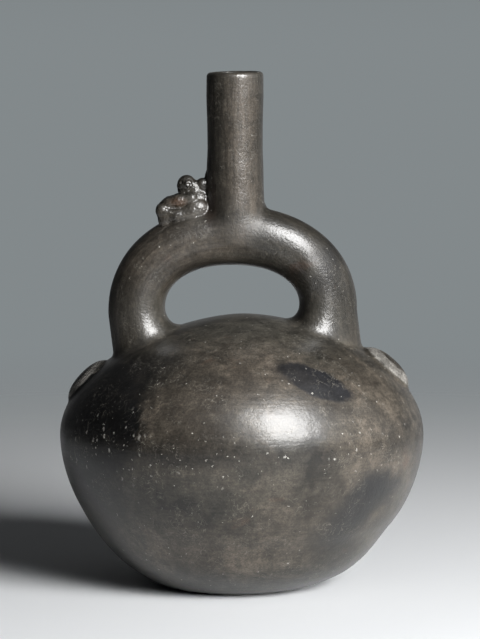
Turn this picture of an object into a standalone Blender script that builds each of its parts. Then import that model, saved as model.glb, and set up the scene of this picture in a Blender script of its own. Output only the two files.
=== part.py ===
"""Stirrup spout vessel: one hollow piece of burnished black clay.

A wide rounded body stands on a small flat spot. A thick hollow arch, the stirrup, rises from its
two shoulders, and an upright spout stands on the arch. A small seated animal leans against the
spout, and a low round boss sits on the shoulder outside each foot of the arch. Inside, the spout's
bore divides in the arch and opens into the body through both of its feet.

Metres, +Z up, the arch in the XZ plane, the origin in the middle of the flat resting spot.
"""

import math

import bmesh
import bpy
from mathutils import Matrix, Vector

# Driving sizes
HEIGHT = 0.224
BODY_RADIUS = 0.0794
BODY_WIDEST_HEIGHT = 0.0666
DOME_HEIGHT = 0.1187
FOOT_RADIUS = 0.027
SPOUT_RADIUS = 0.0122
ARCH_HALF_SPAN = 0.042
ARCH_RISE = 0.0338
ARCH_SPRING_HEIGHT = 0.119

# Walls
BODY_WALL = 0.005
FLOOR_WALL = 0.0065
ARCH_WALL = 0.0042
SPOUT_WALL = 0.0036

# The body's outline is two quarter curves, flatter than a circle, joined at the widest level
LOWER_CURVE = (1.89, 1.83)
UPPER_CURVE = (1.955, 1.655)
BASE_CUT_RADIUS = 0.0323
BASE_EDGE_HEIGHT = 0.0015
BODY_DEPTH_SHARE = 0.96
BODY_LEAN = 0.003
BODY_LEAN_HEIGHT = 0.0364
SHOULDER_TILT = 0.018

# Low down the wall swells out to the right, and the foot is a little deeper from front to back
LOW_SWELL = 0.0040
LOW_SWELL_AT_GROUND = 0.4
LOW_SWELL_REACH = 0.040
LOW_DEPTH_GAIN = 0.08
LOW_FULL_HEIGHT = 0.008
LOW_END_HEIGHT = 0.027

# The arch's centre line is a fuller curve than an ellipse, set slightly off the spout's axis
ARCH_CENTRE_X = -0.0009
ARCH_CURVE = 2.21
ARCH_FOOT_RADIUS = 0.0123
ARCH_CROWN_RADIUS = 0.0130
ARCH_FOOT_DRIFT = 0.0034
ARCH_FOOT_DROP = 0.028
JOIN_FLARE = 0.0045
JOIN_REACH = 0.0036
JOIN_SHARE_ALL_ROUND = 0.55

# The spout is a little waisted, with a rounded lip
SPOUT_HEAD_RADIUS = 0.01255
SPOUT_HEAD_HEIGHT = 0.213
SPOUT_NECK_HEIGHT = 0.202
SPOUT_WAIST_HEIGHT = 0.190
SPOUT_FLARE_HEIGHT = 0.178
SPOUT_BOTTOM = 0.150
LIP_DEPTH = 0.0030
LIP_WALL_SHARE = 0.75
CUT_OVERRUN = 0.004

# The round bosses: direction, height of the middle, radius and stand-out
BOSSES = {
    "left": (-1, 0.0909, 0.0118, 0.0030),
    "right": (1, 0.0952, 0.0129, 0.0040),
}
BOSS_EDGE_CURVE = 2.6
BOSS_SINK = 0.002
SHOULDER_CURVE_RADIUS = 0.055

# The seated animal: the middle and the half sizes of each round lump of clay
HEAD_RADIUS = 0.0041
HEAD_CENTRE = (-0.0210, 0, 0.1750)
FIGURE_LUMPS = {
    "trunk": ((-0.0160, 0, 0.1672), (0.0062, 0.0060, 0.0068)),
    "chest": ((-0.0205, 0, 0.1690), (0.0042, 0.0052, 0.0040)),
    "lap": ((-0.0238, 0, 0.1637), (0.0070, 0.0040, 0.0042)),
    "tail": ((-0.0125, 0, 0.1695), (0.0028, 0.0030, 0.0064)),
    "tail_end": ((-0.0142, 0, 0.1750), (0.0026, 0.0027, 0.0031)),
    "tail_web": ((-0.0120, 0, 0.1766), (0.0018, 0.0024, 0.0042)),
    "head": (HEAD_CENTRE, (HEAD_RADIUS, HEAD_RADIUS, HEAD_RADIUS)),
    "muzzle": ((-0.0233, 0, 0.1738), (0.0019, 0.0025, 0.0021)),
    "nape": ((-0.0177, 0, 0.1731), (0.0035, 0.0036, 0.0040)),
}
EAR = ((-0.0200, 0.0038, 0.1757), (0.0016, 0.0012, 0.0018))

# Its joints on one side, and how thick the limb is at each
SHOULDER = ((-0.0192, 0.0043, 0.1691), 0.0027)
ELBOW = ((-0.0262, 0.0036, 0.1677), 0.0021)
HAND = ((-0.0320, 0.0025, 0.1661), 0.0014)
HIP = ((-0.0182, 0.0045, 0.1630), 0.0041)
THIGH = ((-0.0253, 0.0046, 0.1619), 0.0032)
KNEE = ((-0.0318, 0.0034, 0.1636), 0.0026)
FOOT = ((-0.0302, 0.0033, 0.1591), 0.0032)

# The lumps get one skin of small squares, then soft joins and fewer faces
FIGURE_GRAIN = 0.0007
FIGURE_SOFTENINGS = 4
FIGURE_KEPT_SHARE = 0.15

# How finely each round is divided
BODY_SIDES = 56
BODY_RINGS = 11
CAVITY_SIDES = 36
CAVITY_RINGS = 7
ARCH_SIDES = 24
ARCH_STATIONS = 28
ARCH_LEG_STEPS = 9
BORE_SIDES = 14
SPOUT_SIDES = 26
SPOUT_FOOT_RINGS = 7
LIP_STEPS = 4
BOSS_SIDES = 24
BOSS_RINGS = 4
LUMP_SIDES = 20
LUMP_RINGS = 12
LIMB_SIDES = 12
LIMB_CAP_TURNS = (0.15, 0.5, 0.9)
SLIVER = 0.00002
SHARP_ANGLE = math.radians(40)

CLAY = {"color": (0.105, 0.093, 0.080, 1.0), "roughness": 0.34, "metallic": 0.0}


def smooth_step(t):
    t = min(max(t, 0.0), 1.0)
    return t * t * (3 - 2 * t)


def new_collection(name):
    collection = bpy.data.collections.new(name)
    bpy.context.scene.collection.children.link(collection)
    return collection


def clay_material():
    material = bpy.data.materials.new("burnished_clay")
    material.use_nodes = True
    shader = material.node_tree.nodes["Principled BSDF"]
    shader.inputs["Base Color"].default_value = CLAY["color"]
    shader.inputs["Roughness"].default_value = CLAY["roughness"]
    shader.inputs["Metallic"].default_value = CLAY["metallic"]
    return material


def add_object(name, mesh, collection):
    thing = bpy.data.objects.new(name, mesh)
    collection.objects.link(thing)
    return thing


def as_mesh(source, collection):
    """The evaluated shape of a curve or a modified object, as a plain closed mesh."""
    bpy.context.view_layer.update()
    shaped = source.evaluated_get(bpy.context.evaluated_depsgraph_get())
    mesh = bpy.data.meshes.new_from_object(shaped)
    made = bmesh.new()
    made.from_mesh(mesh)
    bmesh.ops.remove_doubles(made, verts=made.verts, dist=1e-6)
    bmesh.ops.recalc_face_normals(made, faces=made.faces)
    made.to_mesh(mesh)
    made.free()
    name = source.name
    place = source.matrix_world.copy()
    bpy.data.objects.remove(source)
    thing = add_object(name, mesh, collection)
    thing.matrix_world = place
    return thing


def turned(name, profile, sides, collection):
    """A solid of revolution about Z, from its (radius, height) profile, top to bottom."""
    mesh = bpy.data.meshes.new(name)
    points = [(radius, 0, height) for radius, height in profile]
    edges = [(i, i + 1) for i in range(len(points) - 1)]
    mesh.from_pydata(points, edges, [])
    thing = add_object(name, mesh, collection)
    screw = thing.modifiers.new("turn", "SCREW")
    screw.steps = sides
    screw.render_steps = sides
    screw.use_merge_vertices = True
    screw.merge_threshold = 1e-6
    return as_mesh(thing, collection)


def tube(name, path, radii, sides, collection):
    """A round tube along a path, with its own radius at each point and closed ends."""
    curve = bpy.data.curves.new(name, "CURVE")
    curve.dimensions = "3D"
    curve.bevel_depth = 1.0
    curve.bevel_resolution = sides // 2 - 2
    curve.use_fill_caps = True
    spline = curve.splines.new("POLY")
    spline.points.add(len(path) - 1)
    for point, place, radius in zip(spline.points, path, radii):
        point.co = (*place, 1.0)
        point.radius = radius
    return as_mesh(add_object(name, curve, collection), collection)


def lump(name, centre, half_sizes, collection):
    """An ellipsoid of clay."""
    made = bmesh.new()
    bmesh.ops.create_uvsphere(made, u_segments=LUMP_SIDES, v_segments=LUMP_RINGS, radius=1.0)
    mesh = bpy.data.meshes.new(name)
    made.to_mesh(mesh)
    made.free()
    mesh.transform(Matrix.Translation(centre) @ Matrix.Diagonal((*half_sizes, 1.0)))
    return add_object(name, mesh, collection)


def reshape(thing, place_of):
    """Moves every point of a mesh to where place_of puts it."""
    for vertex in thing.data.vertices:
        vertex.co = place_of(vertex.co)
    thing.data.update()
    return thing


def boolean(thing, other, operation):
    """Joins other to thing, or cuts it away, and applies the result."""
    modifier = thing.modifiers.new(other.name, "BOOLEAN")
    modifier.operation = operation
    modifier.solver = "EXACT"
    modifier.object = other
    bpy.context.view_layer.update()
    shaped = thing.evaluated_get(bpy.context.evaluated_depsgraph_get())
    mesh = bpy.data.meshes.new_from_object(shaped)
    thing.modifiers.remove(modifier)
    thing.data = mesh
    bpy.data.objects.remove(other)
    return thing


# The body


def lower_radius(share, radius):
    """Radius at a share of the way down from the widest level to the ground."""
    bend, root = LOWER_CURVE
    cut = (1 - (BASE_CUT_RADIUS / BODY_RADIUS) ** root) ** (1 / bend)
    return radius * (1 - (share * cut) ** bend) ** (1 / root)


def upper_radius(share, radius):
    """Radius at a share of the way up from the widest level to the top of the dome."""
    bend, root = UPPER_CURVE
    return radius * max(1 - share**bend, 0.0) ** (1 / root)


def body_profile(radius, top, bottom, rings):
    """Outline from the top of the dome down to the edge of the underside."""
    middle = BODY_WIDEST_HEIGHT
    shares = [math.sin(i / rings * math.pi / 2) for i in range(rings + 1)]
    above = [(upper_radius(share, radius), middle + (top - middle) * share) for share in shares[1:]]
    below = [(lower_radius(share, radius), middle + (bottom - middle) * share) for share in shares[:-1]]
    return above[::-1] + below


def as_thrown(point):
    """The hand-made body: it leans, swells low on the right, and one shoulder stands higher."""
    x, y, z = point
    above = max(z - BODY_WIDEST_HEIGHT, 0.0) / (DOME_HEIGHT - BODY_WIDEST_HEIGHT)
    lean = BODY_LEAN * smooth_step(z / BODY_LEAN_HEIGHT)
    low = smooth_step((LOW_END_HEIGHT - z) / (LOW_END_HEIGHT - LOW_FULL_HEIGHT))
    up = LOW_SWELL_AT_GROUND + (1 - LOW_SWELL_AT_GROUND) * smooth_step(z / LOW_FULL_HEIGHT)
    to_right = smooth_step((x + LOW_SWELL_REACH) / (2 * LOW_SWELL_REACH))
    swell = LOW_SWELL * low * up * to_right
    depth = BODY_DEPTH_SHARE * (1 + LOW_DEPTH_GAIN * low)
    return Vector((x + lean + swell, y * depth, z + SHOULDER_TILT * x * above))


def shoulder_height(x, y):
    """Height of the body's upper surface above a point of the ground plan."""
    bend, root = UPPER_CURVE
    plan_x = x - BODY_LEAN
    away = min(math.hypot(plan_x, y / BODY_DEPTH_SHARE) / BODY_RADIUS, 1.0)
    share = (1 - away**root) ** (1 / bend)
    level = BODY_WIDEST_HEIGHT + (DOME_HEIGHT - BODY_WIDEST_HEIGHT) * share
    return level + SHOULDER_TILT * plan_x * share


def build_body(collection):
    edge_share = 1 - BASE_EDGE_HEIGHT / BODY_WIDEST_HEIGHT
    edge = (lower_radius(edge_share, BODY_RADIUS), BASE_EDGE_HEIGHT)
    soft_edge = ((FOOT_RADIUS + edge[0]) / 2, BASE_EDGE_HEIGHT / 4)
    whole = body_profile(BODY_RADIUS, DOME_HEIGHT, 0.0, BODY_RINGS)
    profile = [place for place in whole if place[1] > BASE_EDGE_HEIGHT]
    profile += [edge, soft_edge, (FOOT_RADIUS, 0.0), (0.0, 0.0)]
    return reshape(turned("body", profile, BODY_SIDES, collection), as_thrown)


def build_body_hollow(collection):
    radius = BODY_RADIUS - BODY_WALL
    top = DOME_HEIGHT - BODY_WALL
    profile = body_profile(radius, top, FLOOR_WALL, CAVITY_RINGS)
    profile += [(FOOT_RADIUS, FLOOR_WALL + BASE_EDGE_HEIGHT), (0.0, FLOOR_WALL)]
    return reshape(turned("body_hollow", profile, CAVITY_SIDES, collection), as_thrown)


# The arch


def arch_point(turn):
    """A point of the arch's centre line: turn runs from 0 at the right foot to pi at the left."""
    power = 2 / ARCH_CURVE
    across = math.copysign(abs(math.cos(turn)) ** power, math.cos(turn))
    up = abs(math.sin(turn)) ** power
    return Vector((ARCH_CENTRE_X + ARCH_HALF_SPAN * across, 0, ARCH_SPRING_HEIGHT + ARCH_RISE * up))


def arch_path():
    """The centre line, with each leg carried down through the shoulder, and the radius along it."""
    turns = [i / ARCH_STATIONS * math.pi for i in range(ARCH_STATIONS + 1)]
    bow = [arch_point(turn) for turn in turns]
    radii = [
        ARCH_FOOT_RADIUS + (ARCH_CROWN_RADIUS - ARCH_FOOT_RADIUS) * math.sin(turn) ** 2
        for turn in turns
    ]
    steps = ARCH_LEG_STEPS
    shares = [(i + 1) / steps for i in range(steps)]
    downs = [Vector((ARCH_FOOT_DRIFT * share, 0, -ARCH_FOOT_DROP * share)) for share in shares]
    right = [bow[0] + down for down in downs]
    left = [bow[-1] + down for down in downs]
    path = right[::-1] + bow + left
    return path, [radii[0]] * steps + radii + [radii[-1]] * steps


def spread_foot(point):
    """Spreads a leg of the arch where it meets the shoulder, most on the side under the arch."""
    side = math.copysign(1, point.x)
    axis = Vector((ARCH_CENTRE_X + side * ARCH_HALF_SPAN, 0, point.z))
    outward = point - axis
    if point.z > ARCH_SPRING_HEIGHT + JOIN_REACH or outward.length < 1e-6:
        return point
    gap = max(point.z - shoulder_height(point.x, point.y), 0.0)
    facing_out = side * outward.x / outward.length
    even = JOIN_SHARE_ALL_ROUND
    push = JOIN_FLARE * math.exp(-gap / JOIN_REACH) * (even - (1 - even) * facing_out)
    return point + outward.normalized() * push


def build_arch(collection):
    path, radii = arch_path()
    return reshape(tube("arch", path, radii, ARCH_SIDES, collection), spread_foot)


def build_arch_bore(collection):
    path, radii = arch_path()
    bore = [radius - ARCH_WALL for radius in radii]
    return tube("arch_bore", path, bore, BORE_SIDES, collection)


# The spout


def arch_top(x, y):
    """Height of the arch's upper surface near its crown."""
    power = 1 / ARCH_CURVE
    share = min(abs(x - ARCH_CENTRE_X) / ARCH_HALF_SPAN, 1.0)
    centre = ARCH_SPRING_HEIGHT + ARCH_RISE * (1 - share**ARCH_CURVE) ** power
    return centre + math.sqrt(max(ARCH_CROWN_RADIUS**2 - y * y, 0.0))


def spread_spout_foot(point):
    """Spreads the foot of the spout along the arch, and leaves its front and back straight."""
    radius = math.hypot(point.x, point.y)
    if radius < SPOUT_RADIUS / 2:
        return point
    gap = max(point.z - arch_top(point.x, point.y), 0.0)
    push = JOIN_FLARE * math.exp(-gap / JOIN_REACH) * (abs(point.x) / radius) ** 2
    return Vector((point.x + math.copysign(push, point.x), point.y, point.z))


def spout_profile():
    """Outline of the spout from the middle of its closed top down to its foot."""
    lip = []
    for i in range(LIP_STEPS + 1):
        turn = math.pi / 2 * (1 - i / LIP_STEPS)
        out = SPOUT_HEAD_RADIUS - SPOUT_WALL / 2 * (1 - math.cos(turn))
        lip.append((out, HEIGHT - LIP_DEPTH * (1 - math.sin(turn))))
    shaft = [
        (SPOUT_HEAD_RADIUS, SPOUT_HEAD_HEIGHT),
        ((SPOUT_HEAD_RADIUS + SPOUT_RADIUS) / 2, SPOUT_NECK_HEIGHT),
        (SPOUT_RADIUS, SPOUT_WAIST_HEIGHT),
    ]
    for i in range(SPOUT_FOOT_RINGS + 1):
        share = i / SPOUT_FOOT_RINGS
        height = SPOUT_FLARE_HEIGHT + (SPOUT_BOTTOM - SPOUT_FLARE_HEIGHT) * share
        shaft.append((SPOUT_RADIUS + (ARCH_CROWN_RADIUS - SPOUT_RADIUS) * share, height))
    return [(0.0, HEIGHT)] + lip + shaft + [(0.0, SPOUT_BOTTOM)]


def build_spout(collection):
    return reshape(turned("spout", spout_profile(), SPOUT_SIDES, collection), spread_spout_foot)


def build_spout_bore(collection):
    mouth = SPOUT_HEAD_RADIUS - SPOUT_WALL * LIP_WALL_SHARE
    bore = SPOUT_RADIUS - SPOUT_WALL
    floor = ARCH_SPRING_HEIGHT + ARCH_RISE - ARCH_WALL
    profile = [
        (0.0, HEIGHT + CUT_OVERRUN),
        (mouth + LIP_DEPTH / 4, HEIGHT + CUT_OVERRUN),
        (mouth + LIP_DEPTH / 8, HEIGHT),
        (mouth, HEIGHT - LIP_DEPTH / 3),
        (bore, HEIGHT - LIP_DEPTH * 2),
        (bore, floor),
        (0.0, floor),
    ]
    return turned("spout_bore", profile, SPOUT_SIDES, collection)


# The bosses on the shoulder


def boss_profile(radius, stand_out):
    """Outline of a low cushion, from the middle of its top to the middle of its sunken back."""
    outline = []
    for i in range(BOSS_RINGS + 1):
        share = math.sin(i / BOSS_RINGS * math.pi / 2)
        level = stand_out * (1 - share**BOSS_EDGE_CURVE) ** (1 / 2)
        outline.append((radius * share, level))
    return outline + [(radius, -BOSS_SINK), (0.0, -BOSS_SINK)]


def build_boss(side, collection):
    """A round cushion of clay bent over the shoulder, its middle square to the slope."""
    direction, height, radius, stand_out = BOSSES[side]
    share = (height - BODY_WIDEST_HEIGHT) / (DOME_HEIGHT - BODY_WIDEST_HEIGHT)
    x = BODY_LEAN + direction * upper_radius(share, BODY_RADIUS)
    step = 0.001
    fall = shoulder_height(x - direction * step, 0) - shoulder_height(x, 0)
    slope = math.atan2(fall, step)
    centre = Vector((x, 0, shoulder_height(x, 0)))
    place = Matrix.Translation(centre) @ Matrix.Rotation(direction * slope, 4, "Y")

    def over_shoulder(point):
        drop = (point.x**2 + point.y**2) / (2 * SHOULDER_CURVE_RADIUS)
        return place @ Vector((point.x, point.y, point.z - drop))

    cushion = turned(f"{side}_boss", boss_profile(radius, stand_out), BOSS_SIDES, collection)
    return reshape(cushion, over_shoulder)


# The seated animal


def limb(name, joints, side, collection):
    """A tapering limb on one side: a tube through its joints, rounded off at both ends."""
    points = [Vector((x, side * y, z)) for (x, y, z), radius in joints]
    radii = [radius for place, radius in joints]
    start = (points[0] - points[1]).normalized() * radii[0]
    end = (points[-1] - points[-2]).normalized() * radii[-1]
    head = [points[0] + start * math.cos(turn) for turn in LIMB_CAP_TURNS]
    tail = [points[-1] + end * math.cos(turn) for turn in reversed(LIMB_CAP_TURNS)]
    head_radii = [radii[0] * math.sin(turn) for turn in LIMB_CAP_TURNS]
    tail_radii = [radii[-1] * math.sin(turn) for turn in reversed(LIMB_CAP_TURNS)]
    path = head + points + tail
    return tube(name, path, head_radii + radii + tail_radii, LIMB_SIDES, collection)


def build_side(side, collection):
    """An ear, an arm laid along the raised leg, and the leg with its foot set on the arch."""
    (x, y, z), half_sizes = EAR
    return [
        lump("ear", (x, side * y, z), half_sizes, collection),
        limb("arm", [SHOULDER, ELBOW, HAND], side, collection),
        limb("leg", [HIP, THIGH, KNEE, FOOT], side, collection),
    ]


def pressed_together(name, pieces):
    """All the overlapping lumps in one mesh, before they get one skin."""
    made = bmesh.new()
    for piece in pieces:
        made.from_mesh(piece.data)
    mesh = bpy.data.meshes.new(name)
    made.to_mesh(mesh)
    made.free()
    first = pieces[0]
    first.data = mesh
    first.name = name
    for piece in pieces[1:]:
        bpy.data.objects.remove(piece)
    return first


def build_figure(collection):
    """An animal sitting on the arch with its back to the spout, in soft joined clay."""
    lumps = [lump(name, *row, collection) for name, row in FIGURE_LUMPS.items()]
    sides = build_side(-1, collection) + build_side(1, collection)
    figure = pressed_together("figure", lumps + sides)
    grain = figure.modifiers.new("one_skin", "REMESH")
    grain.mode = "VOXEL"
    grain.voxel_size = FIGURE_GRAIN
    soft = figure.modifiers.new("thumbed_joins", "SMOOTH")
    soft.factor = 0.5
    soft.iterations = FIGURE_SOFTENINGS
    fewer = figure.modifiers.new("fewer_faces", "DECIMATE")
    fewer.ratio = FIGURE_KEPT_SHARE
    return as_mesh(figure, collection)


def joined(name, pieces):
    first = pieces[0]
    first.name = name
    for piece in pieces[1:]:
        first = boolean(first, piece, "UNION")
    return first


def tidy(thing):
    """Merges the slivers that the cuts leave and makes every face point out."""
    made = bmesh.new()
    made.from_mesh(thing.data)
    bmesh.ops.triangulate(made, faces=made.faces)
    bmesh.ops.dissolve_degenerate(made, edges=made.edges, dist=SLIVER)
    bmesh.ops.triangulate(made, faces=made.faces)
    loose = [edge for edge in made.edges if not edge.link_faces]
    bmesh.ops.delete(made, geom=loose, context="EDGES")
    bmesh.ops.recalc_face_normals(made, faces=made.faces)
    made.to_mesh(thing.data)
    made.free()
    return thing


def main():
    for thing in list(bpy.data.objects):
        bpy.data.objects.remove(thing)
    vessel_parts = new_collection("stirrup_spout_vessel")
    cutters = new_collection("cutters")
    outside = [
        build_body(vessel_parts),
        build_arch(vessel_parts),
        build_spout(vessel_parts),
        build_boss("left", vessel_parts),
        build_boss("right", vessel_parts),
        build_figure(vessel_parts),
    ]
    inside = [
        build_body_hollow(cutters),
        build_arch_bore(cutters),
        build_spout_bore(cutters),
    ]
    vessel = boolean(joined("vessel", outside), joined("hollow", inside), "DIFFERENCE")
    tidy(vessel)
    vessel.data.materials.clear()
    vessel.data.materials.append(clay_material())
    vessel.data.shade_smooth()
    vessel.data.set_sharp_from_angle(angle=SHARP_ANGLE)


main()
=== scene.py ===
# %% [markdown]
# # A stirrup spout vessel in burnished blackware
#
# The real object is one piece of fired clay. A wide round body is closed over the top, a hollow
# arch rises from its two shoulders, and a spout stands on the arch. It was smoked black in the
# kiln and rubbed with a smooth stone while leather hard, which left the gloss and the fine
# strokes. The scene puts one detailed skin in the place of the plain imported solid.

import math

import bmesh
import bpy
import numpy as np
from mathutils import Matrix, Vector


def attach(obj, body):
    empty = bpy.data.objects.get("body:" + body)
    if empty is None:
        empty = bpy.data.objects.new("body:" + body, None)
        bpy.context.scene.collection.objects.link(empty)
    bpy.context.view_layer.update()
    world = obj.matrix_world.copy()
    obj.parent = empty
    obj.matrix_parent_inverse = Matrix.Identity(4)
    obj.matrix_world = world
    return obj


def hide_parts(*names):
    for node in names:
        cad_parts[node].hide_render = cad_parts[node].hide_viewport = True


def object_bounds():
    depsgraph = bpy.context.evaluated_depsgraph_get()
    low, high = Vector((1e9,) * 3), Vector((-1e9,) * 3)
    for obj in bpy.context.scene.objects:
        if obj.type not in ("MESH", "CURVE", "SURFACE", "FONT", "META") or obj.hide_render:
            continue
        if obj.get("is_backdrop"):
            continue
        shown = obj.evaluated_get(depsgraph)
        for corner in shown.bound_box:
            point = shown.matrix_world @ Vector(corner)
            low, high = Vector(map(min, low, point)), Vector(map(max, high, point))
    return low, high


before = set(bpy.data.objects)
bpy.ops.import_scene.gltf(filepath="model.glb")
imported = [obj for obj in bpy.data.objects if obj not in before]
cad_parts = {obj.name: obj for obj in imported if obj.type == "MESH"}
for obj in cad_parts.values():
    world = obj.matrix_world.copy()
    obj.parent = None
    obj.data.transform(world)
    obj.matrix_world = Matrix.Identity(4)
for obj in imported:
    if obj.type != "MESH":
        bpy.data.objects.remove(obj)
cad_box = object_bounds()
print("packed box, m:", [[round(v, 4) for v in corner] for corner in cad_box])

# %% [markdown]
# ## Sizes
#
# These are the potter's sizes, in metres, the same that the solid was made from. Everything
# below is worked out from them, so a change of one of them carries through.

# %% The body's sizes
HEIGHT = 0.224
BODY_RADIUS = 0.0794
WIDEST = 0.0666
DOME = 0.1187
DEPTH_SHARE = 0.96
BODY_LEAN = 0.003
LEAN_HEIGHT = 0.0364
SHOULDER_TILT = 0.018
LOWER_CURVE = (1.89, 1.83)
UPPER_CURVE = (1.955, 1.655)
BASE_CUT_RADIUS = 0.0323
LOW_SWELL = 0.0040
LOW_SWELL_AT_GROUND = 0.4
LOW_SWELL_REACH = 0.040
LOW_DEPTH_GAIN = 0.08
LOW_FULL_HEIGHT = 0.008
LOW_END_HEIGHT = 0.027
BODY_WALL = 0.005
FLOOR_WALL = 0.0065
FLOOR_CORNER = 0.004

# %% The arch's and the spout's sizes
ARCH_CENTRE_X = -0.0009
ARCH_HALF_SPAN = 0.042
ARCH_RISE = 0.0338
ARCH_SPRING = 0.119
ARCH_CURVE = 2.21
ARCH_FOOT_RADIUS = 0.0123
ARCH_CROWN_RADIUS = 0.0130
ARCH_FOOT_DRIFT = 0.0034
ARCH_FOOT_DROP = 0.028
ARCH_WALL = 0.0042
ARCH_HEART_DROP = 0.02
SPOUT_WALL = 0.0036

# %% [markdown]
# ## Clay as distances
#
# Hand-built clay has no sharp joins: the potter smears one part into the next. To get that, each
# part is written as a distance, negative inside the clay. Two distances can be blended softly,
# and the skin is where the blend is zero. Bevelled joins would be quicker, but a bevel has one
# width all along its edge, and a thumbed join doesn't.


# %% Blends
def smooth_step(t):
    t = np.clip(t, 0.0, 1.0)
    return t * t * (3 - 2 * t)


def soft_union(a, b, reach):
    """The nearer of two distances, with the corner between them filled over the given reach."""
    share = np.maximum(reach - np.abs(a - b), 0.0) / reach
    return np.minimum(a, b) - share * share * reach / 4


def soft_cut(a, b, reach):
    """What is left of a outside b, with the edge rounded over the given reach."""
    return -soft_union(-a, b, reach)


# %% The swell low on the right
def unswollen(x, y, z):
    """Takes back the swell low on the right and the deeper foot."""
    low = smooth_step((LOW_END_HEIGHT - z) / (LOW_END_HEIGHT - LOW_FULL_HEIGHT))
    up = LOW_SWELL_AT_GROUND + (1 - LOW_SWELL_AT_GROUND) * smooth_step(z / LOW_FULL_HEIGHT)
    swell = 0.0
    for _ in range(3):
        across = smooth_step((x - swell + LOW_SWELL_REACH) / (2 * LOW_SWELL_REACH))
        swell = LOW_SWELL * low * up * across
    return x - swell, y / (1 + LOW_DEPTH_GAIN * low)


# %% The body, and the hollow inside it
LEAST_SLOPE = 5.0


def rounded_body(p, radius, top, bottom):
    """Distance to the two quarter curves that make the body, leaning and tilted as it is."""
    x, y, z = p.T
    above = np.clip((z - WIDEST) / (DOME - WIDEST), 0.0, 1.0)
    x, y = unswollen(x - BODY_LEAN * smooth_step(z / LEAN_HEIGHT), y, z)
    z = z - SHOULDER_TILT * x * above
    out = np.maximum(np.hypot(x, y / DEPTH_SHARE), 1e-6) / radius
    bend, root = UPPER_CURVE
    rise = top - WIDEST
    up = np.maximum((z - WIDEST) / rise, 1e-6)
    level_up = out**root + up**bend - 1
    slope_up = np.hypot(root / radius * out ** (root - 1), bend / rise * up ** (bend - 1))
    bend, root = LOWER_CURVE
    cut = (1 - (BASE_CUT_RADIUS / BODY_RADIUS) ** root) ** (1 / bend)
    fall = WIDEST - bottom
    down = np.maximum((WIDEST - z) / fall * cut, 1e-6)
    level_down = out**root + down**bend - 1
    slope_down = np.hypot(root / radius * out ** (root - 1), bend * cut / fall * down ** (bend - 1))
    distance_up = level_up / np.maximum(slope_up, LEAST_SLOPE)
    distance_down = level_down / np.maximum(slope_down, LEAST_SLOPE)
    return np.where(z > WIDEST, distance_up, distance_down)


def body(p):
    return rounded_body(p, BODY_RADIUS, DOME, 0.0)


def body_hollow(p):
    inside = rounded_body(p, BODY_RADIUS - BODY_WALL, DOME - BODY_WALL, FLOOR_WALL)
    return soft_cut(inside, p[:, 2] - FLOOR_WALL, FLOOR_CORNER)


# %% The centre line of the arch
def arch_points(count=400, leg_count=40):
    """The arch from its right foot to its left one, legs carried down through the shoulder."""
    turn = np.linspace(0, math.pi, count)
    power = 2 / ARCH_CURVE
    across = np.sign(np.cos(turn)) * np.abs(np.cos(turn)) ** power
    x = ARCH_CENTRE_X + ARCH_HALF_SPAN * across
    z = ARCH_SPRING + ARCH_RISE * np.abs(np.sin(turn)) ** power
    radius = ARCH_FOOT_RADIUS + (ARCH_CROWN_RADIUS - ARCH_FOOT_RADIUS) * np.sin(turn) ** 2
    down = np.linspace(0, 1, leg_count)[1:]
    for end, flip in ((0, True), (-1, False)):
        leg_x = x[end] + ARCH_FOOT_DRIFT * down
        leg_z = z[end] - ARCH_FOOT_DROP * down
        leg_r = np.full(down.shape, radius[end])
        pairs = ((leg_x, x), (leg_z, z), (leg_r, radius))
        if flip:
            x, z, radius = (np.r_[leg[::-1], old] for leg, old in pairs)
        else:
            x, z, radius = (np.r_[old, leg] for leg, old in pairs)
    return x, z, radius


line_x, line_z, line_radius = arch_points()
line_run = np.r_[0, np.cumsum(np.hypot(np.diff(line_x), np.diff(line_z)))]
print("arch centre line, mm:", round(line_run[-1] * 1000, 1))


# %% [markdown]
# The way from a point to the arch's bent line is slow to work out. The line lies in one plane, so
# the way is worked out once on a fine grid of that plane and then read off for every point.

# %% A chart of the arch's plane
CHART_STEP = 0.0004
SPOTS_AT_ONCE = 8000
chart_x = np.arange(-0.085, 0.0851, CHART_STEP)
chart_z = np.arange(0.075, 0.1801, CHART_STEP)


def chart_arch():
    """For each spot of the plane: the way to the centre line, the run along it, its radius."""
    spots = np.stack(np.meshgrid(chart_x, chart_z, indexing="ij"), axis=-1).reshape(-1, 2)
    line = np.stack([line_x, line_z], axis=1)
    away = np.empty(len(spots))
    run = np.empty(len(spots))
    for start in range(0, len(spots), SPOTS_AT_ONCE):
        part = spots[start : start + SPOTS_AT_ONCE]
        gap = ((part[:, None] - line[None]) ** 2).sum(axis=2)
        near = gap.argmin(axis=1)
        near = np.clip(near, 1, len(line) - 2)
        best = np.full(len(part), np.inf)
        best_run = np.zeros(len(part))
        for first in (near - 1, near):
            a, b = line[first], line[first + 1]
            along = np.clip(((part - a) * (b - a)).sum(axis=1) / ((b - a) ** 2).sum(axis=1), 0, 1)
            d = np.hypot(*(part - a - along[:, None] * (b - a)).T)
            here = line_run[first] + along * (line_run[first + 1] - line_run[first])
            closer = d < best
            best[closer] = d[closer]
            best_run[closer] = here[closer]
        away[start : start + SPOTS_AT_ONCE] = best
        run[start : start + SPOTS_AT_ONCE] = best_run
    shape = (len(chart_x), len(chart_z))
    radius = np.interp(run, line_run, line_radius)
    return away.reshape(shape), run.reshape(shape), radius.reshape(shape)


chart_away, chart_run, chart_radius = chart_arch()
print("chart of the arch's plane:", chart_away.shape)


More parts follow.
